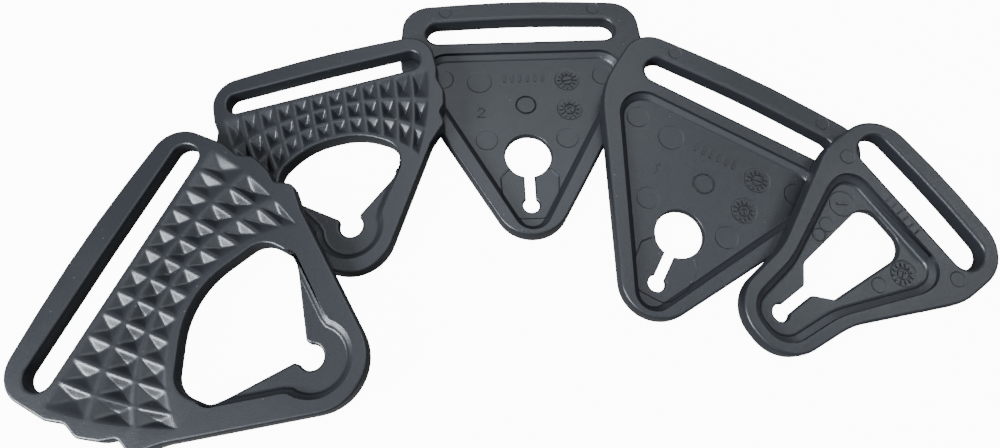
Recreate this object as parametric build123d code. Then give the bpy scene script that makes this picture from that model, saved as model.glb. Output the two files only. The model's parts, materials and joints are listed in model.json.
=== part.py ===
from build123d import *
from math import atan2, cos, degrees, sin
import os

# Five loose strap plates, moulded in one piece each, lying fanned on a table.
# Every plate has a slot for flat webbing at its wide end and, near its apex,
# a snap opening that presses over a headed stud. Millimetres, +Z up.
#
# A plate is drawn with its slot along X and its apex towards -Y, underside
# at Z 0. Half of each outline is given, from the top centre down the right
# side, as (x, y, corner radius), and the left half mirrors it.

# Common to all plates
THICK = 4.0              # full thickness
RECESS_DEPTH = 2.0       # moulded recess in the show side
EDGE = 0.5               # rounded edge of the outline
BOW_RADIUS = 240.0       # gentle bow of the outer bar
PIN_MARK_DEPTH = 0.12    # ejector pin and date insert witness marks
INSERT_RADIUS = 2.9      # round date inserts

# Keyhole plate: solid triangle with a shallow recess, for 45 mm webbing
KEY_OUTLINE = [(0, 10.5, BOW_RADIUS), (28.9, 8.7, 7.0), (30.2, -9.6, 20), (0, -61.8, 8.6)]
KEY_SLOT_HALF = 23.2
KEY_SLOT_NEAR = -2.2
KEY_SLOT_FAR = 4.7
KEY_RECESS = [(26.5, -6.4, 4.9), (0, -54.5, 3.3)]
KEY_BIG_Y = -32.8
KEY_BIG_RADIUS = 5.35
KEY_SMALL_Y = -45.1
KEY_SMALL_RADIUS = 1.85
KEY_NECK_HALF = 1.15
KEY_POCKET = [(5.0, -36.4, 1), (6.7, -38.4, 1), (6.7, -43.6, 3), (3.6, -49.6, 3)]
KEY_POCKET_DEPTH = 0.4   # jaws are thinner than the recess floor
KEY_PINS = [(19.4, -11.6), (9.4, -28.6)]
KEY_PIN_RADIUS = 2.5
KEY_INSERTS = [(10.6, -12.6), (10.6, -20.8), (-10.6, -12.6)]
BAR_PIN = (18.5, 7.0)
BAR_PIN_RADIUS = 1.5

# Flared plate: narrow waist, open frame, for 30 mm webbing
FLARE_OUTLINE = [(0, 10.3, 170.0), (21.2, 8.8, 9.0), (21.1, -7.2, 14),
                 (10.4, -30.4, 18), (8.4, -47.9, 8.5)]
FLARE_SLOT_HALF = 17.4
FLARE_SLOT_NEAR = -2.4
FLARE_SLOT_FAR = 5.9
FLARE_RECESS = [(13.8, -6.6, 4), (13.6, -12.5, 8), (6.4, -31, 20), (4.9, -44.6, 4.6)]
FLARE_HOLE_Y = -39.8
FLARE_HOLE_RADIUS = 1.85
FLARE_NECK_HALF = 1.25
FLARE_OPENING = [(6.6, -7.9, 4.0), (4.8, -28.5, 1.5), (FLARE_NECK_HALF, -31.9, 1),
                 (FLARE_NECK_HALF, FLARE_HOLE_Y, 0.3)]
FLARE_PIN = (8.0, -18.6)
FLARE_SHOULDER_PIN = (16.6, -4.9)
FLARE_PIN_RADIUS = 1.6
FLARE_INSERT = (9.4, -12.4)
FLARE_INSERT_RADIUS = 2.8

# Grip plates: pitted show side, scalloped shoulders, and a thin web whose
# jaws snap over a stud. One type in two sizes, for 50 and 40 mm webbing.
STUD_NOTCH_RADIUS = 2.6
STUD_JAW_HALF = 2.25
JAW_CORNER = 0.8
GRIP_50 = {
    "outline": [(0, 11.2, BOW_RADIUS), (32.0, 9.0, 7.2), (32.5, -4.9, 3.6),
                (31.3, -9.0, 2.5), (32.5, -12.6, 3), (31.0, -17.5, 4), (29.1, -20.2, 1.5),
                (30.5, -24.2, 2.3), (26.0, -29.0, 2), (0, -65.7, 10.75)],
    "slot": (29.0, -1.6, 4.9, 0.3, 2.9),
    "opening": [(4.5, -18.7, 18.5), (16.9, -24.85, 5.2), (16.4, -32.8, 3.3)],
    "jaw_y": -43.4,
    "notch_y": -45.9,
    "web": [(15.5, -31.0, 1), (15.5, -34.4, 1), (7.3, -45.6, 1)],
    "web_end": (-46.8, 7.2),
    "first_row": -2.5, "row": 5.0, "pitch": 5.0, "bend": 1 / 77.4, "narrowing": 0.08,
}
GRIP_40 = {
    "outline": [(0, 8.6, BOW_RADIUS), (26.7, 7.2, 6.6), (26.7, -2.6, 2), (26.1, -5.4, 2),
                (27.0, -9.0, 2.5), (26.3, -12.4, 2), (24.9, -14.2, 1.5), (25.4, -17.2, 2),
                (21.3, -21.4, 2), (0, -55.4, 9.85)],
    "slot": (23.1, -1.6, 3.75, 0.3, 2.3),
    "opening": [(6.1, -14.7, 16.5), (14.5, -20.35, 4.8), (12.9, -25.3, 3.5)],
    "jaw_y": -33.3,
    "notch_y": -35.3,
    "web": [(12.5, -24.8, 1), (12.5, -26.2, 1), (6.6, -35.2, 1)],
    "web_end": (-36.1, 6.6),
    "first_row": -2.4, "row": 3.85, "pitch": 4.05, "bend": 1 / 61.8, "narrowing": 0.08,
}

# Grip pits: three curved rows of inverted pyramids, twelve to a row. The rows
# bend more towards the opening, and the columns fan out along them.
PIT_ROWS = 3
PITS_PER_SIDE = 6
PIT_DEPTH = 1.3
PIT_TAPER = 50.0         # degrees off square, so the four faces nearly meet
PIT_LAND = 1.0           # flat left between two rows
PIT_RIDGE = 0.35         # left between two pits of a row
PIT_TIP = 0.15           # half width of a pit's flat tip

# Place of each plate in the fan: x, y, height and turn, then the two tilts
# that lay it on its neighbour. The centre plate lies flat.
PLACES = {
    "keyhole_plate_centre": (10.0, 40.8, 0.0, 1.9, 0.0, 0.0),
    "grip_plate_40": (-36.3, 24.4, 2.51, 13.4, 1.44, -4.75),
    "grip_plate_50": (-74.85, -19.4, 2.19, 64.9, -2.48, -3.59),
    "keyhole_plate_right": (58.65, 17.1, 2.94, -28.0, 2.55, 4.86),
    "flared_plate": (93.8, -6.0, 2.99, -53.8, 0.29, 7.70),
}


def mirrored(half):
    """Whole outline as a face, from its right half given top to bottom."""
    left = [(-x, y, r) for x, y, r in reversed(half) if x > 0]
    corners = half + left
    points = [(x, y) for x, y, r in corners]
    radii = [r for x, y, r in corners]
    return make_face(FilletPolyline(*points, radius=radii, close=True))


def slab(face, bottom, top):
    return extrude(Pos(0, 0, bottom) * face, amount=top - bottom)


def disc(x, y, radius, bottom, top):
    height = top - bottom
    return Pos(x, y, bottom + height / 2) * Cylinder(radius, height)


def slot_face(half, near, far, sag, radius):
    """Webbing slot: straight on the plate side, bowed on the bar side."""
    return mirrored([(0, far, BOW_RADIUS), (half, far - sag, radius), (half, near, radius)])


def edges_at(solid, height):
    return [e for e in solid.edges() if abs(e.bounding_box().min.Z - height) < 1e-4
            and abs(e.bounding_box().max.Z - height) < 1e-4]


def blank(outline):
    """Plate with its rounded outer edges, before anything is cut in it."""
    plate = slab(mirrored(outline), 0, THICK)
    return fillet(edges_at(plate, THICK) + edges_at(plate, 0), EDGE)


def keyhole_plate():
    floor = THICK - RECESS_DEPTH
    recess = mirrored(KEY_RECESS)
    plate = blank(KEY_OUTLINE)
    plate -= slab(recess, floor, THICK)
    plate -= slab(mirrored(KEY_POCKET) & recess, floor - KEY_POCKET_DEPTH, floor)
    plate -= slab(slot_face(KEY_SLOT_HALF, KEY_SLOT_NEAR, KEY_SLOT_FAR, 0.85, 3.0), 0, THICK)
    plate -= disc(0, KEY_BIG_Y, KEY_BIG_RADIUS, 0, THICK)
    neck_length = KEY_BIG_Y - KEY_SMALL_Y
    neck = Box(2 * KEY_NECK_HALF, neck_length, THICK)
    plate -= Pos(0, KEY_SMALL_Y + neck_length / 2, THICK / 2) * neck
    plate -= disc(0, KEY_SMALL_Y, KEY_SMALL_RADIUS, 0, THICK)
    for side in (-1, 1):
        for x, y in KEY_PINS:
            plate -= disc(side * x, y, KEY_PIN_RADIUS, floor - PIN_MARK_DEPTH, floor)
        x, y = BAR_PIN
        plate -= disc(side * x, y, BAR_PIN_RADIUS, THICK - PIN_MARK_DEPTH, THICK)
    for x, y in KEY_INSERTS:
        plate -= disc(x, y, INSERT_RADIUS, floor - PIN_MARK_DEPTH, floor)
    return plate


def flared_plate():
    floor = THICK - RECESS_DEPTH
    plate = blank(FLARE_OUTLINE)
    plate -= slab(mirrored(FLARE_RECESS), floor, THICK)
    plate -= slab(slot_face(FLARE_SLOT_HALF, FLARE_SLOT_NEAR, FLARE_SLOT_FAR, 0.85, 3.4), 0, THICK)
    plate -= slab(mirrored(FLARE_OPENING), 0, THICK)
    plate -= disc(0, FLARE_HOLE_Y, FLARE_HOLE_RADIUS, 0, THICK)
    for side in (-1, 1):
        x, y = FLARE_PIN
        plate -= disc(side * x, y, FLARE_PIN_RADIUS, floor - PIN_MARK_DEPTH, floor)
        x, y = FLARE_SHOULDER_PIN
        plate -= disc(side * x, y, FLARE_PIN_RADIUS, THICK - PIN_MARK_DEPTH, THICK)
        x, y = FLARE_INSERT
        plate -= disc(side * x, y, FLARE_INSERT_RADIUS, floor - PIN_MARK_DEPTH, floor)
    return plate


def pit(row, column, first_row, row_height, pitch, bend, narrowing):
    """One inverted pyramid: row 0 is nearest the slot, column 0 right of the middle."""
    across = (pitch - narrowing * (row + 0.5)) * (column + 0.5)
    middle = first_row - row_height * (row + 0.5)
    radius = 1 / (bend * (row + 0.5))
    angle = across / radius
    end = column in (-PITS_PER_SIDE, PITS_PER_SIDE - 1)
    width = pitch - narrowing * (row + 0.5) - PIT_RIDGE - (1.2 if end else 0)
    height = row_height - PIT_LAND - (0.6 if end else 0)
    taper = min(PIT_TAPER, degrees(atan2(height / 2 - PIT_TIP, PIT_DEPTH)))
    pull = -0.5 if end and column > 0 else 0.5 if end else 0
    pyramid = extrude(Rectangle(width, height), amount=PIT_DEPTH, taper=taper)
    at = Pos(radius * sin(angle) + pull, middle - radius * (1 - cos(angle)), THICK)
    return at * Rot(Z=-degrees(angle)) * Rot(X=180) * pyramid


def grip_plate(size):
    """Grip plate: the recess is the thin web that carries the snap jaws."""
    web = THICK - RECESS_DEPTH
    plate = blank(size["outline"])
    end_y, end_radius = size["web_end"]
    recess = mirrored(size["web"]) + Pos(0, end_y) * Circle(end_radius)
    plate -= slab(recess, web, THICK)
    plate -= slab(slot_face(*size["slot"]), 0, THICK)
    snap = size["opening"] + [(STUD_JAW_HALF, size["jaw_y"], JAW_CORNER),
                              (STUD_JAW_HALF, size["notch_y"], 0.3)]
    plate -= slab(mirrored(snap), 0, THICK)
    plate -= disc(0, size["notch_y"], STUD_NOTCH_RADIUS, 0, THICK)
    grid = [size[key] for key in ("first_row", "row", "pitch", "bend", "narrowing")]
    return plate - [pit(row, column, *grid) for row in range(PIT_ROWS)
                    for column in range(-PITS_PER_SIDE, PITS_PER_SIDE)]


def placed(name, plate):
    x, y, z, turn, tilt_x, tilt_y = PLACES[name]
    return Pos(x, y, z) * Rot(Z=turn) * Rot(Y=tilt_y) * Rot(X=tilt_x) * plate


keyhole = keyhole_plate()
shapes = {
    "keyhole_plate_centre": keyhole,
    "grip_plate_40": grip_plate(GRIP_40),
    "grip_plate_50": grip_plate(GRIP_50),
    "keyhole_plate_right": keyhole,
    "flared_plate": flared_plate(),
}

os.makedirs("parts", exist_ok=True)
plates = {name: placed(name, shape) for name, shape in shapes.items()}
box = plates["keyhole_plate_centre"].bounding_box()
for plate in plates.values():
    box = box.add(plate.bounding_box())
to_origin = Pos(-box.center().X, -box.center().Y, -box.min.Z)
for name, plate in plates.items():
    export_step(to_origin * plate, f"parts/{name}.step")
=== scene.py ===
import bmesh
import bpy
import json
import math
import numpy as np
from mathutils import Matrix, Vector
from mathutils.geometry import delaunay_2d_cdt


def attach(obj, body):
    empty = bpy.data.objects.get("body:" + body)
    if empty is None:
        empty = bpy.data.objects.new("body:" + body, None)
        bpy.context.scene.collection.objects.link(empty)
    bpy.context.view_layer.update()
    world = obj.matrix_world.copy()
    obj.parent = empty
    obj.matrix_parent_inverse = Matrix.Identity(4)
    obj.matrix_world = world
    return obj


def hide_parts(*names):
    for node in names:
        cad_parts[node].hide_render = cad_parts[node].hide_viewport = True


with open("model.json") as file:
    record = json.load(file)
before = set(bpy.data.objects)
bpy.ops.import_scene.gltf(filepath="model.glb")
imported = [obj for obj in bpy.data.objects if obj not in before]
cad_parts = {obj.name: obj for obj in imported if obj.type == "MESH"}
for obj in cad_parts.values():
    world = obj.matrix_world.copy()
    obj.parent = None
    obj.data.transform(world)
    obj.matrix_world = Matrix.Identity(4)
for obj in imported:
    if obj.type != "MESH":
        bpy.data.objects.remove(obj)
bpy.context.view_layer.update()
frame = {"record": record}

# ------------------------------------------------------------------ keyhole plates
# Two identical triangular plates for 45 mm webbing, moulded in glass-filled nylon.
# The face that shows is the underside: a recessed floor with the keyhole, a thinner
# pocket round its jaws, and a bar beside the slot that the webbing wraps.
MM = 0.001
THICK = 4.0
RECESS = 2.0
PARTING_STEP = 0.05
MOULD_CLEARANCE = 0.01
ARC_STEP = math.radians(7)
SHARP_FROM = 38
BOW = 240.0

KEY_SLOT_MID = 1.25
KEY_SEAT = (-45.1, 0.8)
KEY_OUTLINE = [(0, 10.5, BOW), (28.9, 8.7, 7.0), (30.2, -9.6, 20), (0, -61.8, 8.6)]
KEY_SLOT = [(0, 4.7, BOW), (23.2, 3.85, 3.0), (23.2, -2.2, 3.0)]
KEY_RECESS = [(26.5, -6.4, 4.9), (0, -54.5, 3.3)]
KEY_POCKET = [(5.0, -36.4, 1), (6.7, -38.4, 1), (6.4, -43.6, 3), (3.6, -48.6, 3)]
KEY_BIG = (0, -32.8, 5.35)
KEY_SMALL = (0, -45.1, 1.85)
KEY_NECK_HALF = 1.15
KEY_PINS = [(19.4, -11.6), (9.4, -28.6), (-19.4, -11.6), (-9.4, -28.6)]
KEY_INSERTS = [(10.6, -12.6, "bar"), (10.6, -20.8, "arrow"), (-10.6, -12.6, "plain")]
FLOOR = THICK - RECESS


def rounded(corners):
    """Closed outline through (x, y, radius) corners, its round stretches cut into short runs."""
    points = np.array([c[:2] for c in corners], float)
    out = []
    for i, (x, y, radius) in enumerate(corners):
        here = points[i]
        back = points[i - 1] - here
        ahead = points[(i + 1) % len(points)] - here
        back /= np.linalg.norm(back)
        ahead /= np.linalg.norm(ahead)
        turn = math.pi - math.acos(np.clip(back @ ahead, -1, 1))
        if radius == 0 or turn < 1e-4:
            out.append(here)
            continue
        reach = radius * math.tan(turn / 2)
        start, end = here + back * reach, here + ahead * reach
        middle = back + ahead
        centre = here + middle / np.linalg.norm(middle) * radius / math.cos(turn / 2)
        a0 = math.atan2(*(start - centre)[::-1])
        sweep = (math.atan2(*(end - centre)[::-1]) - a0 + math.pi) % (2 * math.pi) - math.pi
        count = max(3, math.ceil(abs(sweep) / ARC_STEP))
        for k in range(count + 1):
            a = a0 + sweep * k / count
            out.append(centre + radius * np.array([math.cos(a), math.sin(a)]))
    return np.array(out)


def whole(half):
    """A half outline, listed from the top down its right side, with its mirrored left side."""
    left = [(-x, y, r) for x, y, r in reversed(half) if x > 1e-6]
    return rounded(list(half) + left)


def arc(x, y, radius, start, end):
    """Corners along an arc, angles in degrees, for an outline that needs a true circle."""
    count = max(2, math.ceil(abs(math.radians(end - start)) / ARC_STEP))
    angles = np.radians(np.linspace(start, end, count + 1))
    return [(x + radius * math.cos(a), y + radius * math.sin(a), 0) for a in angles]


def shifted(loop, distance):
    """The loop moved sideways, to its right for a positive distance."""
    ahead = np.roll(loop, -1, 0) - loop
    ahead /= np.linalg.norm(ahead, axis=1)[:, None]
    side = np.stack([ahead[:, 1], -ahead[:, 0]], 1)
    mean = side + np.roll(side, 1, 0)
    mean /= np.linalg.norm(mean, axis=1)[:, None]
    stretch = np.maximum((mean * side).sum(1), 0.5)
    return loop + mean * (distance / stretch)[:, None]


def inside(points, loop):
    """Even-odd test of many points against one loop."""
    hit = np.zeros(len(points), bool)
    px, py = points[:, 0], points[:, 1]
    for (x1, y1), (x2, y2) in zip(loop, np.roll(loop, -1, 0)):
        if y1 != y2:
            cross = ((y1 > py) != (y2 > py)) & (px < (x2 - x1) * (py - y1) / (y2 - y1) + x1)
            hit ^= cross
    return hit


def depth_in(points, loop):
    """Distance of each point from the loop, positive inside it."""
    best = np.full(len(points), 1e9)
    for a, b in zip(loop, np.roll(loop, -1, 0)):
        run = b - a
        t = np.clip(((points - a) @ run) / max(run @ run, 1e-12), 0, 1)
        best = np.minimum(best, np.linalg.norm(points - a - t[:, None] * run, axis=1))
    return np.where(inside(points, loop), best, -best)


def edge_round(radius, steps=5):
    """Profile of a rounded edge: (distance in from the edge, drop below the face)."""
    angles = np.linspace(0, math.pi / 2, steps + 1)
    ring = [(radius * (1 - math.cos(a)), radius * (1 - math.sin(a))) for a in angles]
    return ring + [(radius * 1.15, 0.0)]


def recess_wall(rim, depth, draft=0.3, foot=0.25):
    """Profile of a recess: a rounded rim, a steep wall with draft, and a small foot radius."""
    rim = min(rim, depth * 0.6)
    top = [(-rim * math.cos(a), rim * (1 - math.sin(a))) for a in np.linspace(math.pi / 2, 0.15, 6)]
    low = [(draft + foot * (1 - math.cos(a)), depth - foot * (1 - math.sin(a)))
           for a in np.linspace(0.15, math.pi / 2, 4)]
    return [(-rim * 1.15 - 0.05, 0.0)] + top + low + [(draft + foot * 1.3, depth)]


def triangles_of(loops, keep):
    """Triangulates the loops with every edge in place, and keeps the faces keep() allows."""
    verts, edges = [], []
    for loop in loops:
        first = len(verts)
        verts += [Vector(p) for p in loop]
        edges += [(first + i, first + (i + 1) % len(loop)) for i in range(len(loop))]
    made, _, faces, *_ = delaunay_2d_cdt(verts, edges, [], 0, 1e-5)
    made = np.array([tuple(v) for v in made])
    faces = np.array([f for f in faces if len(f) == 3])
    middles = made[faces].mean(1)
    return made, faces[keep(middles)]


def rim_loops(faces, count):
    """Open edges of the triangles, chained into loops of vertex numbers."""
    edges = np.concatenate([faces[:, [0, 1]], faces[:, [1, 2]], faces[:, [2, 0]]])
    keys = np.sort(edges, 1) @ np.array([count, 1])
    _, first, uses = np.unique(keys, return_index=True, return_counts=True)
    follow = {int(a): int(b) for a, b in edges[first[uses == 1]]}
    loops = []
    while follow:
        start, at = follow.popitem()
        loop = [start]
        while at != start:
            loop.append(at)
            at = follow.pop(at)
        loops.append(loop)
    return loops


class Moulding:
    """One plate in its own millimetres: an outline, holes through it, and shaped recesses."""

    def __init__(self, outline, holes, recesses, edge=0.55):
        self.outline = shifted(outline, PARTING_STEP + MOULD_CLEARANCE)
        self.holes = holes            # (loop, edge profile)
        self.recesses = recesses      # (loop, wall profile)
        self.edge = edge_round(edge)
        self.under = edge_round(0.45)

    def solid(self, points):
        ok = inside(points, self.outline)
        for loop, _ in self.holes:
            ok &= ~inside(points, loop)
        return ok

    def drop(self, points, top):
        """How far the face lies below its flat level, for the top or the underside."""
        def fall(distance, profile):
            d, z = np.array(profile).T
            return np.interp(distance, d, z)
        total = fall(depth_in(points, self.outline), self.edge if top else self.under)
        for loop, profile in self.holes:
            total += fall(-depth_in(points, loop), profile if top else self.under)
        if top:
            for loop, profile in self.recesses:
                total += fall(depth_in(points, loop), profile)
        return total

    def rings(self, top):
        made = [shifted(self.outline, d) for d, _ in (self.edge if top else self.under)[1:]]
        for loop, profile in self.holes:
            made += [shifted(loop, -d) for d, _ in (profile if top else self.under)[1:]]
        if top:
            for loop, profile in self.recesses:
                made += [shifted(loop, d) for d, _ in profile]
        return made

    def build(self, patch=None):
        """Vertices and faces of the closed plate. patch is a ready grid set into the top face."""
        edges = [self.outline] + [loop for loop, _ in self.holes]
        extra = self.rings(True)
        keep = self.solid
        if patch:
            extra = extra + [patch["rim"]]
            keep = lambda p: self.solid(p) & ~inside(p, patch["rim"])
        flat, faces = triangles_of(edges + extra, keep)
        top = np.column_stack([flat, THICK - self.drop(flat, True)])
        verts, tris = [top], [faces]
        count = len(top)
        if patch:
            verts.append(patch["verts"])
            tris.append(patch["faces"] + count)
            count += len(patch["verts"])
        loops = rim_loops(faces, len(flat))
        if patch:
            loops = [l for l in loops if np.abs(depth_in(flat[l[:3]], patch["rim"])).max() > 1e-3]
        low_loops = [flat[l] for l in loops] + self.rings(False)
        under, low_faces = triangles_of(low_loops, self.solid)
        bottom = np.column_stack([under, self.drop(under, False)])
        verts.append(bottom)
        tris.append(low_faces[:, ::-1] + count)
        count += len(bottom)
        for loop in loops:
            ring = top[loop]
            ahead = np.roll(ring, -1, 0) - np.roll(ring, 1, 0)
            out = np.column_stack([ahead[:, 1], -ahead[:, 0]])
            out /= np.linalg.norm(out, axis=1)[:, None]
            low = np.column_stack([ring[:, :2], self.drop(ring[:, :2], False)])
            middle = (ring + low) / 2
            middle[:, :2] += out * PARTING_STEP
            rows = [ring, (ring * 0.15 + middle * 0.85), middle, (low * 0.1 + middle * 0.9), low]
            verts += rows
            n = len(loop)
            for r in range(len(rows) - 1):
                a = count + r * n + np.arange(n)
                b = count + r * n + (np.arange(n) + 1) % n
                tris += [np.stack([a, a + n, b], 1), np.stack([b, a + n, b + n], 1)]
            count += n * len(rows)
        return np.concatenate(verts), np.concatenate(tris)


def seat_of(node, slot_mid, seat):
    """Place of a plate in the frame, from its slot's and its stud seat's mounts."""
    mounts = {m["name"]: m for m in frame["record"]["mounts"]}
    slot = mounts[node + "_webbing_slot"]
    up = Vector(slot["axis"]).normalized()
    slot_at = Vector(slot["pos_m"])
    _, seat_z = seat
    seat_at = Vector(mounts[SEATS[node]]["pos_m"]) + up * (THICK / 2 - seat_z) * MM
    along = (slot_at - seat_at).normalized()
    across = along.cross(up)
    origin = slot_at - along * slot_mid * MM - up * THICK / 2 * MM
    turn = Matrix((across, along, up)).transposed().to_4x4()
    return Matrix.Translation(origin) @ turn @ Matrix.Scale(MM, 4)


SEATS = {
    "keyhole_plate_centre": "keyhole_centre_seat",
    "keyhole_plate_right": "keyhole_right_seat",
    "grip_plate_50": "grip_50_notch",
    "grip_plate_40": "grip_40_notch",
    "flared_plate": "flared_seat",
}


def mesh_of(name, verts, faces):
    """A mesh with its doubles merged, smooth over its rounds and sharp at its real edges."""
    mesh = bpy.data.meshes.new(name)
    mesh.from_pydata([tuple(v) for v in verts], [], [tuple(map(int, f)) for f in faces])
    shape = bmesh.new()
    shape.from_mesh(mesh)
    bmesh.ops.remove_doubles(shape, verts=shape.verts, dist=2e-4)
    bmesh.ops.dissolve_degenerate(shape, edges=shape.edges, dist=1e-5)
    bmesh.ops.recalc_face_normals(shape, faces=shape.faces)
    shape.to_mesh(mesh)
    shape.free()
    mesh.shade_smooth()
    mesh.set_sharp_from_angle(angle=math.radians(SHARP_FROM))
    return mesh


def set_down(mesh, name, node, place, material):
    """Puts a finished mesh in the frame as the plate that stands for its CAD node."""
    mesh.transform(place)
    plate = bpy.data.objects.new(name, mesh)
    bpy.context.scene.collection.objects.link(plate)
    mesh.materials.clear()
    mesh.materials.append(material)
    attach(plate, node)
    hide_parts(node)


class Wire:
    """A node socket that can be written into arithmetic, in shader and geometry trees alike."""

    def __init__(self, tree, socket):
        self.tree, self.socket = tree, socket

    def math(self, operation, *others):
        node = self.tree.nodes.new("ShaderNodeMath")
        node.operation = operation
        for slot, value in zip(node.inputs, (self, *others)):
            if isinstance(value, Wire):
                self.tree.links.new(value.socket, slot)
            else:
                slot.default_value = value
        return Wire(self.tree, node.outputs[0])

    def other(self, kind, output=0, settings=None, **inputs):
        """Adds any other node; inputs are given by name, as numbers or wires."""
        node = self.tree.nodes.new(kind)
        for key, value in (settings or {}).items():
            setattr(node, key, value)
        for key, value in inputs.items():
            slot = node.inputs[key.replace("_", " ")]
            if isinstance(value, Wire):
                self.tree.links.new(value.socket, slot)
            else:
                slot.default_value = value
        return Wire(self.tree, node.outputs[output])

    def __add__(self, b): return self.math("ADD", b)
    def __sub__(self, b): return self.math("SUBTRACT", b)
    def __mul__(self, b): return self.math("MULTIPLY", b)
    def __truediv__(self, b): return self.math("DIVIDE", b)
    def __rsub__(self, b): return (self * -1) + b
    def __rtruediv__(self, b): return self.math("POWER", -1) * b
    __radd__ = __add__
    __rmul__ = __mul__


BLACK = (0.012, 0.0138, 0.0175, 1)
DUST = (0.20, 0.21, 0.22, 1)
COOL_SHEEN = (0.86, 0.93, 1.0, 1)
GRAIN_SCALE, FLOW_SCALE, SPECK_SCALE = 4200.0, 55.0, 420.0
SPECK_SIZE, SPECK_AREA, SPECK_SHARE, SPECK_RISE = 0.045, 0.50, 0.55, 1.5
ROUGHNESS, FLOW_CHANGE, GRAIN_CHANGE = 0.36, 0.16, 0.10
GRAIN_STRENGTH, GRAIN_HEIGHT = 0.6, 0.00005


def moulded_plastic():
    """Semi-matte black nylon: fine spark-eroded texture, faint flow marks, a few dust specks."""
    made = bpy.data.materials.new("moulded_black")
    made.use_nodes = True
    tree = made.node_tree
    shader = tree.nodes["Principled BSDF"]
    place = Wire(tree, tree.nodes.new("ShaderNodeTexCoord").outputs["Object"])
    grain = place.other("ShaderNodeTexNoise", Vector=place, Scale=GRAIN_SCALE, Detail=2.0,
                        Roughness=0.6)
    flow = place.other("ShaderNodeTexNoise", Vector=place, Scale=FLOW_SCALE, Detail=3.0,
                       Roughness=0.55)
    specks = place.other("ShaderNodeTexVoronoi", Vector=place, Scale=SPECK_SCALE, Randomness=1.0)
    dust = specks.math("LESS_THAN", SPECK_SIZE) * flow.math("GREATER_THAN", SPECK_AREA)
    tint = place.other("ShaderNodeMix", 2, {"data_type": "RGBA"})
    mix = tint.socket.node
    mix.inputs[6].default_value = BLACK
    mix.inputs[7].default_value = DUST
    tree.links.new((dust * SPECK_SHARE).socket, mix.inputs[0])
    tree.links.new(tint.socket, shader.inputs["Base Color"])
    rough = (flow - 0.5) * FLOW_CHANGE + (grain - 0.5) * GRAIN_CHANGE + ROUGHNESS
    tree.links.new(rough.socket, shader.inputs["Roughness"])
    bump = place.other("ShaderNodeBump", Height=grain + dust * SPECK_RISE,
                       Strength=GRAIN_STRENGTH, Distance=GRAIN_HEIGHT)
    tree.links.new(bump.socket, shader.inputs["Normal"])
    shader.inputs["Specular IOR Level"].default_value = 0.5
    shader.inputs["Specular Tint"].default_value = COOL_SHEEN
    return made


plastic = moulded_plastic()


def dial(radius, count, tick):
    """Ring of raised ticks on a date insert, as a plain mesh made by repeating one tick."""
    tree = bpy.data.node_groups.new("insert_ticks", "GeometryNodeTree")
    tree.interface.new_socket("Geometry", in_out="INPUT", socket_type="NodeSocketGeometry")
    inputs = {}
    for label, kind, value in (("Radius", "Float", radius), ("Count", "Int", count),
                               ("Tick Length", "Float", tick[0]), ("Tick Width", "Float", tick[1]),
                               ("Tick Height", "Float", tick[2])):
        made = tree.interface.new_socket(label, in_out="INPUT", socket_type="NodeSocket" + kind)
        inputs[made.identifier] = value
    tree.interface.new_socket("Geometry", in_out="OUTPUT", socket_type="NodeSocketGeometry")
    source = tree.nodes.new("NodeGroupInput")
    given = {s.name: Wire(tree, s) for s in source.outputs if s.name}
    radius_in = given["Radius"]
    ring = radius_in.other("GeometryNodeMeshCircle", Vertices=given["Count"], Radius=radius_in)
    size = ring.other("ShaderNodeCombineXYZ", X=given["Tick Length"], Y=given["Tick Width"],
                      Z=given["Tick Height"])
    cube = ring.other("GeometryNodeMeshCube", Size=size)
    index = ring.other("GeometryNodeInputIndex")
    turn = ring.other("ShaderNodeCombineXYZ", Z=index * (2 * math.pi) / given["Count"])
    ticks = ring.other("GeometryNodeInstanceOnPoints", Points=ring, Instance=cube, Rotation=turn)
    real = ticks.other("GeometryNodeRealizeInstances", Geometry=ticks)
    coated = real.other("GeometryNodeSetMaterial", Geometry=real, Material=plastic)
    tree.links.new(coated.socket, tree.nodes.new("NodeGroupOutput").inputs[0])
    return evaluated(bpy.data.meshes.new("dial_seed"), tree, inputs)


def evaluated(mesh, tree, inputs):
    """Vertices and triangles of a mesh after a Geometry Nodes tree, as plain arrays."""
    seed = bpy.data.objects.new("seed", mesh)
    bpy.context.scene.collection.objects.link(seed)
    modifier = seed.modifiers.new("nodes", "NODES")
    modifier.node_group = tree
    for identifier, value in inputs.items():
        modifier[identifier] = value
    graph = bpy.context.evaluated_depsgraph_get()
    result = bpy.data.meshes.new_from_object(seed.evaluated_get(graph), depsgraph=graph)
    seed.modifiers.remove(modifier)
    bpy.data.objects.remove(seed)
    result.calc_loop_triangles()
    verts = np.array([tuple(v.co) for v in result.vertices])
    tris = np.array([tuple(t.vertices) for t in result.loop_triangles])
    bpy.data.meshes.remove(result)
    return verts, tris


STROKE_DRAFT = 0.06


def stroke(points, width=0.3, height=0.16):
    """A raised line on a moulded face: a chain of bars with drafted sides."""
    verts, tris = [], []
    for a, b in zip(points, points[1:]):
        a, b = np.array(a, float), np.array(b, float)
        run = (b - a) / np.linalg.norm(b - a)
        side = np.array([-run[1], run[0]])
        a, b = a - run * width / 2, b + run * width / 2
        first = len(verts)
        for z, w in ((-0.05, width / 2), (height, width / 2 - STROKE_DRAFT)):
            draw_in = run * (STROKE_DRAFT if z > 0 else 0)
            start, end = a + draw_in, b - draw_in
            for at, sign in ((start, 1), (end, 1), (end, -1), (start, -1)):
                verts.append((*(at + side * w * sign), z))
        for k in range(4):
            low, low_next = first + k, first + (k + 1) % 4
            tris += [(low_next, low, low + 4), (low_next, low + 4, low_next + 4)]
        tris += [(first + 4, first + 6, first + 5), (first + 4, first + 7, first + 6),
                 (first, first + 1, first + 2), (first, first + 2, first + 3)]
    return np.array(verts), np.array(tris)


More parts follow.
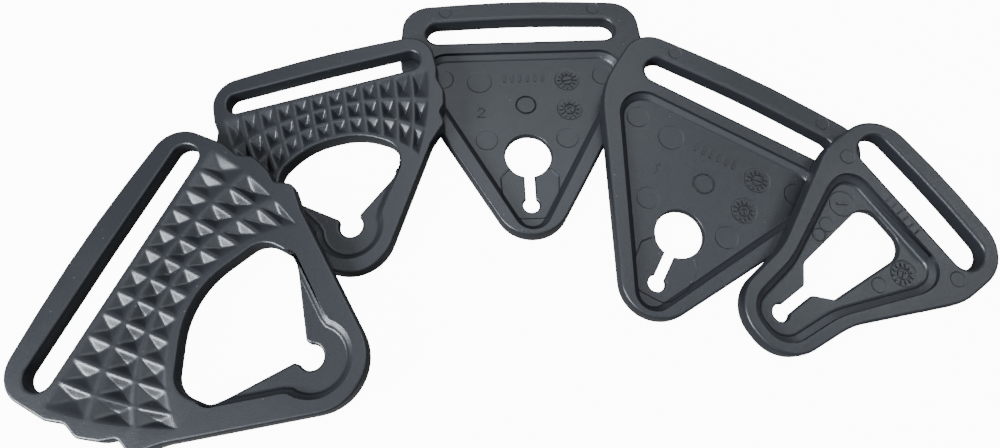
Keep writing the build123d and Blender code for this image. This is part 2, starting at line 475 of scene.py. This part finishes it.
def ring_of(radius, width=0.22, height=0.12, steps=40):
    angles = np.linspace(0, 2 * math.pi, steps + 1)
    return stroke([(radius * math.cos(a), radius * math.sin(a)) for a in angles], width, height)


def moved(shape, x, y, z, turn=0.0):
    verts, tris = shape
    c, s = math.cos(turn), math.sin(turn)
    at = verts @ np.array([[c, s, 0], [-s, c, 0], [0, 0, 1]]) + np.array([x, y, z])
    return at, tris


def joined(parts):
    verts, tris, count = [], [], 0
    for v, t in parts:
        verts.append(v)
        tris.append(t + count)
        count += len(v)
    return np.concatenate(verts), np.concatenate(tris)


def insert_marks(x, y, z, style, ticks):
    """The raised figures of one date insert."""
    parts = []
    if style != "plain":
        parts.append(moved(ticks, x, y, z))
        parts.append(moved(ring_of(1.25), x, y, z))
    if style == "arrow":
        parts.append(moved(stroke([(0, -0.8), (0, 0.8)]), x, y, z, 0.5))
        parts.append(moved(stroke([(-0.45, 0.3), (0, 0.8), (0.45, 0.3)]), x, y, z, 0.5))
    if style == "bar":
        parts.append(moved(stroke([(-1.0, 0), (1.0, 0)], 0.4), x, y, z, 0.2))
    return parts


PIN_RADIUS = 2.5
INSERT_RADIUS = 2.9
CORNER_PIN = (18.5, 7.0, 1.5)
SUNK_RIM = [(-0.2, 0.0), (-0.08, 0.0), (0.05, 0.10), (0.2, 0.10)]


def round_mark(x, y, radius):
    """The faint sunk circle that an ejector pin or a date insert leaves."""
    return np.array(arc(x, y, radius, 360, 0)[:-1])[:, :2], SUNK_RIM


def pair_of_marks(x, y, radius):
    return [round_mark(side * x, y, radius) for side in (-1, 1)]


def bars(x, y, pitch, z, half, width):
    """Six plain upright bars in a row, standing where a mould carries its lettering."""
    line = [(0, -half), (0, half)]
    return [moved(stroke(line, width, 0.2), x + pitch * k, y, z) for k in range(6)]


def key_marks(number, ticks):
    """Raised marks on a keyhole plate's floor: inserts, plain bars, a ring, a cavity number."""
    parts = []
    for x, y, style in KEY_INSERTS:
        parts += insert_marks(x, y, FLOOR, style, ticks)
    parts += bars(-4.6, -11.9, 1.85, FLOOR, 0.75, 0.55)
    parts.append(moved(ring_of(2.3, 0.4, 0.2), 0.2, -19.4, FLOOR))
    glyphs = {1: [(-0.5, 0.8), (0, 1.2), (0, -1.2)],
              2: [(-0.8, 0.6), (-0.4, 1.2), (0.4, 1.2), (0.7, 0.6), (-0.8, -1.1), (0.8, -1.1)]}
    parts.append(moved(stroke(glyphs[number], 0.35, 0.18), -10.4, -21.2, FLOOR))
    return parts


ticks = dial(2.0, 12, (0.8, 0.36, 0.44))
entry = math.degrees(math.asin(KEY_NECK_HALF / KEY_BIG[2])) - 90
throat = math.degrees(math.acos(KEY_NECK_HALF / KEY_SMALL[2]))
keyhole_half = arc(*KEY_BIG, 90, entry)
keyhole_half += arc(*KEY_SMALL, throat, -90)
keyhole = whole(keyhole_half)

for node, number in (("keyhole_plate_centre", 2), ("keyhole_plate_right", 1)):
    key_shape = Moulding(
        whole(KEY_OUTLINE),
        [(whole(KEY_SLOT), edge_round(0.8)), (keyhole, edge_round(0.35))],
        [(whole(KEY_RECESS), recess_wall(1.0, RECESS)),
         (whole(KEY_POCKET), recess_wall(0.15, 0.35, 0.15, 0.1))]
        + [round_mark(x, y, PIN_RADIUS) for x, y in KEY_PINS]
        + [round_mark(x, y, INSERT_RADIUS) for x, y, _ in KEY_INSERTS]
        + pair_of_marks(*CORNER_PIN),
    )
    body = joined([key_shape.build()] + key_marks(number, ticks))
    mesh = mesh_of(node, *body)
    set_down(mesh, node + "_moulding", node, seat_of(node, KEY_SLOT_MID, KEY_SEAT), plastic)

# ------------------------------------------------------------------ grip plates
# One type in two sizes, for 50 and 40 mm webbing, each one moulding in the same nylon.
# The show side has three curved rows of pits that stop a strap pad slipping, and a thin
# web carries the snap jaws.
NOTCH_RADIUS = 2.6
JAW_HALF = 2.25
PIT_DEPTH = 1.9
CELL_STEPS = 12
GRIP_50 = dict(
    slot_mid=1.65, seat=(-45.9, 1.0),
    outline=[(0, 11.2, BOW), (32.0, 9.0, 7.2), (32.5, -4.9, 3.6), (31.3, -9.0, 2.5),
             (32.5, -12.6, 3), (31.0, -17.5, 4), (29.1, -20.2, 1.5), (30.5, -24.2, 2.3),
             (26.0, -29.0, 2), (0, -65.7, 10.75)],
    slot=[(0, 4.9, BOW), (29.0, 4.6, 2.9), (29.0, -1.6, 2.9)],
    opening=[(4.5, -18.7, 18.5), (16.9, -24.85, 5.2), (16.4, -32.8, 3.3)],
    jaw_y=-43.4, web_side=[(15.6, -33.4, 1.0), (7.9, -44.2, 2.2)], web_end=(-46.8, 7.2),
    lands=(0.14, 0.14), first=-2.6, row=4.97, pitch=5.0, bend=1 / 77.4, narrowing=0.083,
)
GRIP_40 = dict(
    slot_mid=1.075, seat=(-35.3, 1.0),
    outline=[(0, 8.6, BOW), (26.7, 7.2, 6.6), (26.7, -2.6, 2), (26.1, -5.4, 2), (27.0, -9.0, 2.5),
             (26.3, -12.4, 2), (24.9, -14.2, 1.5), (25.4, -17.2, 2), (21.3, -21.4, 2),
             (0, -55.4, 9.85)],
    slot=[(0, 3.75, BOW), (23.1, 3.45, 2.3), (23.1, -1.6, 2.3)],
    opening=[(6.1, -14.7, 16.5), (14.5, -20.35, 4.8), (12.9, -25.3, 3.5)],
    jaw_y=-33.3, web_side=[(12.4, -25.6, 1.0), (7.2, -33.6, 2.0)], web_end=(-36.1, 6.6),
    lands=(0.10, 0.26), first=-2.5, row=3.78, pitch=4.05, bend=1 / 61.8, narrowing=0.083,
)


def pit_point(grip, column, row):
    """Where a place on the pit grid lies: rows bend round the opening, columns fan along them."""
    pitch = grip["pitch"] - grip["narrowing"] * row
    beyond = max(abs(column) - 5, 0)
    run_out = beyond * 0.8 if beyond < 0.5 else 0.4 + (beyond - 0.5) * (1.5 - 0.3 * row)
    along = math.copysign(min(abs(column), 5) + run_out, column) * pitch
    bend = max(grip["bend"] * row, 1e-5)
    angle = along * bend
    return math.sin(angle) / bend, grip["first"] - grip["row"] * row - (1 - math.cos(angle)) / bend


def pit_tree():
    """Geometry Nodes: presses an inverted pyramid into every cell of a (column, row) grid."""
    tree = bpy.data.node_groups.new("pits", "GeometryNodeTree")
    tree.interface.new_socket("Geometry", in_out="INPUT", socket_type="NodeSocketGeometry")
    inputs = {}
    for label, value in (("Depth", PIT_DEPTH), ("Row Land", 0.14), ("Ridge", 0.16),
                         ("Shallower", 0.28), ("Softness", 0.18)):
        made = tree.interface.new_socket(label, in_out="INPUT", socket_type="NodeSocketFloat")
        inputs[made.identifier] = value
    tree.interface.new_socket("Geometry", in_out="OUTPUT", socket_type="NodeSocketGeometry")
    source = tree.nodes.new("NodeGroupInput")
    given = {s.name: Wire(tree, s) for s in source.outputs if s.name}
    depth = given["Depth"]
    column = depth.other("GeometryNodeInputNamedAttribute", Name="column")
    row = depth.other("GeometryNodeInputNamedAttribute", Name="row")
    across = 1 - (column.math("FRACT") - 0.5).math("ABSOLUTE") * 2
    across = (across - given["Ridge"]) / (1 - given["Ridge"])
    down = 1 - (row.math("FRACT") - 0.5).math("ABSOLUTE") * 2
    down = (down - given["Row Land"]) / (1 - given["Row Land"])
    fall = across.math("SMOOTH_MIN", down, given["Softness"])
    fall = fall.math("SMOOTH_MIN", 0.9, given["Softness"])
    fall = fall.math("SMOOTH_MAX", 0.0, given["Softness"]) - given["Softness"] / 6
    fall = fall.math("MAXIMUM", 0.0)
    outer = 1 - (row - 1.5).math("ABSOLUTE") * given["Shallower"]
    offset = depth.other("ShaderNodeCombineXYZ", Z=fall * depth * outer * -1)
    pressed = depth.other("GeometryNodeSetPosition", Geometry=given["Geometry"], Offset=offset)
    real = depth.other("GeometryNodeRealizeInstances", Geometry=pressed)
    coated = depth.other("GeometryNodeSetMaterial", Geometry=real, Material=plastic)
    tree.links.new(coated.socket, tree.nodes.new("NodeGroupOutput").inputs[0])
    return tree, inputs


pits, pit_inputs = pit_tree()


def pit_patch(grip):
    """The pitted part of the show side, as a grid with its rim, ready to set into the plate."""
    columns = np.linspace(-6, 6, 12 * CELL_STEPS + 1)
    rows = np.linspace(0, 3, 3 * CELL_STEPS + 1)
    points = np.array([[(*pit_point(grip, c, r), THICK) for c in columns] for r in rows])
    high, wide = points.shape[:2]
    number = np.arange(high * wide).reshape(high, wide)
    faces = []
    for j in range(high - 1):
        for i in range(wide - 1):
            a, b, c, d = number[j, i], number[j, i + 1], number[j + 1, i + 1], number[j + 1, i]
            left = (i % CELL_STEPS) < CELL_STEPS / 2
            upper = (j % CELL_STEPS) < CELL_STEPS / 2
            faces += [(a, c, b), (a, d, c)] if left == upper else [(a, d, b), (b, d, c)]
    mesh = bpy.data.meshes.new("pit_seed")
    mesh.from_pydata(points.reshape(-1, 3).tolist(), [], [tuple(map(int, f)) for f in faces])
    column_of, row_of = np.meshgrid(columns, rows)
    for label, values in (("column", column_of), ("row", row_of)):
        field = mesh.attributes.new(label, "FLOAT", "POINT")
        field.data.foreach_set("value", values.ravel())
    chosen = dict(zip(pit_inputs, (PIT_DEPTH, *grip["lands"])))
    verts, tris = evaluated(mesh, pits, {**pit_inputs, **chosen})
    rim = np.concatenate([number[0, :-1], number[:-1, -1], number[-1, :0:-1], number[:0:-1, 0]])
    verts[rim, 2] = THICK
    flat = points.reshape(-1, 3)[rim, :2]
    return {"verts": verts, "faces": tris, "rim": flat}


def web_recess(grip):
    """S-curved rim of the thin web round the snap jaws. It starts inside the big opening."""
    y, radius = grip["web_end"]
    side_x, side_y, _ = grip["web_side"][0]
    lead_in = [(side_x - 1.2, side_y + 6.5, 1), (side_x + 1.1, side_y + 1.4, 3.0)]
    return whole(lead_in + grip["web_side"] + arc(0, y, radius, 8, -90))


for node, grip in (("grip_plate_50", GRIP_50), ("grip_plate_40", GRIP_40)):
    notch_y = grip["seat"][0]
    meet = math.degrees(math.acos(JAW_HALF / NOTCH_RADIUS))
    snap = grip["opening"] + [(JAW_HALF + 0.1, grip["jaw_y"], 0.8)]
    snap += arc(0, notch_y, NOTCH_RADIUS, meet, -90)
    opening = whole(snap)
    shape = Moulding(
        whole(grip["outline"]),
        [(whole(grip["slot"]), edge_round(0.6)), (opening, edge_round(0.55))],
        [(web_recess(grip), recess_wall(0.9, RECESS, 0.3, 0.6))],
    )
    mesh = mesh_of(node, *shape.build(pit_patch(grip)))
    set_down(mesh, node + "_moulding", node, seat_of(node, grip["slot_mid"], grip["seat"]), plastic)

# ------------------------------------------------------------------ flared plate
# Narrow plate for 30 mm webbing, one moulding in the same nylon, with an open middle
# and a slit down to its stud hole.
FLARE_NECK_HALF = 1.25
FLARE_HOLE = (0, -39.8, 1.85)
FLARE_SLOT_MID = 1.75
FLARE_SEAT = (-39.8, 1.0)
FLARE_INSERT = (9.4, -12.4)
meet = math.degrees(math.acos(FLARE_NECK_HALF / FLARE_HOLE[2]))
flare_opening = whole([(6.6, -7.9, 4.0), (4.8, -28.5, 1.5), (FLARE_NECK_HALF, -31.9, 1)]
                      + arc(*FLARE_HOLE, meet, -90))
flare = Moulding(
    whole([(0, 10.3, 170.0), (21.2, 8.8, 9.0), (21.1, -7.2, 14), (10.4, -30.4, 18),
           (8.4, -47.9, 8.5)]),
    [(whole([(0, 5.9, BOW), (17.4, 5.05, 3.4), (17.4, -2.4, 3.4)]), edge_round(0.8)),
     (flare_opening, edge_round(0.35))],
    [(whole([(13.8, -6.6, 4), (13.6, -12.5, 8), (6.4, -31, 20), (4.9, -44.6, 4.6)]),
      recess_wall(1.1, RECESS, 0.35, 0.7))]
    + pair_of_marks(8.0, -18.6, 1.6)
    + pair_of_marks(16.6, -4.9, 1.6)
    + pair_of_marks(*FLARE_INSERT, 2.8),
)
insert_x, insert_y = FLARE_INSERT
flare_parts = insert_marks(insert_x, insert_y, FLOOR, "arrow", ticks) + [
    moved(ring_of(1.4, 0.3, 0.16), -7.4, -21.6, FLOOR),
    moved(stroke([(-1.0, 0), (1.0, 0)], 0.5, 0.2), -insert_x, insert_y, FLOOR, 0.9),
]
flare_parts += bars(-4.4, -4.6, 1.75, THICK - 0.2, 0.8, 0.6)
mesh = mesh_of("flared_plate", *joined([flare.build()] + flare_parts))
set_down(mesh, "flared_plate_moulding", "flared_plate",
         seat_of("flared_plate", FLARE_SLOT_MID, FLARE_SEAT), plastic)

# ------------------------------------------------------------------ floor, light and camera
# A plain pale sheet under the fan, lit by four soft boxes. The sheet's white is a glow
# that only the camera sees, so it adds no light to the plates.
floor_mesh = bpy.data.meshes.new("floor")
floor_mesh.from_pydata([(-2, -2, 0), (2, -2, 0), (2, 2, 0), (-2, 2, 0)], [], [(0, 1, 2, 3)])
floor = bpy.data.objects.new("floor", floor_mesh)
bpy.context.scene.collection.objects.link(floor)
paper = bpy.data.materials.new("pale_floor")
paper.use_nodes = True
sheet = paper.node_tree.nodes["Principled BSDF"]
sheet.inputs["Base Color"].default_value = (0.14, 0.14, 0.14, 1)
sheet.inputs["Roughness"].default_value = 0.9
sheet.inputs["Emission Strength"].default_value = 12.0
glow = paper.node_tree.nodes.new("ShaderNodeLightPath").outputs["Is Camera Ray"]
paper.node_tree.links.new(glow, sheet.inputs["Emission Color"])
floor_mesh.materials.append(paper)

world = bpy.data.worlds.new("studio")
bpy.context.scene.world = world
world.use_nodes = True
world.node_tree.nodes["Background"].inputs[0].default_value = (1, 1, 1, 1)
world.node_tree.nodes["Background"].inputs[1].default_value = 0.28

AIM = Vector((-7.79, 3.07, 0)) * MM
DISTANCE = 163.35 * MM
ELEVATION = math.radians(65.33)
camera_data = bpy.data.cameras.new("camera")
camera = bpy.data.objects.new("camera", camera_data)
bpy.context.scene.collection.objects.link(camera)
back = Vector((0, -math.cos(ELEVATION), math.sin(ELEVATION)))
camera.location = AIM + back * DISTANCE
camera.rotation_mode = "QUATERNION"
camera.rotation_quaternion = (-back).to_track_quat("-Z", "Y")
camera_data.sensor_width = 36
camera_data.lens = 25.78
camera_data.shift_x = 0.0198
camera_data.shift_y = -0.0337
camera_data.clip_start = 0.005
bpy.context.scene.camera = camera


def softbox(name, where, size, watts, colour=(1, 1, 1)):
    """A square soft light aimed at the middle of the fan."""
    data = bpy.data.lights.new(name, "AREA")
    data.size = size
    data.energy = watts
    data.color = colour
    lamp = bpy.data.objects.new(name, data)
    bpy.context.scene.collection.objects.link(lamp)
    lamp.location = where
    lamp.rotation_mode = "QUATERNION"
    lamp.rotation_quaternion = (AIM - Vector(where)).to_track_quat("-Z", "Y")


softbox("key_front_left", (-0.50, -0.30, 0.36), 0.24, 12.0)
softbox("right_side", (0.52, 0.06, 0.60), 0.26, 1.0)
softbox("overhead", (0.02, 0.22, 0.62), 0.50, 2.2)
softbox("above_front", (0.02, -0.52, 0.72), 0.36, 1.5)
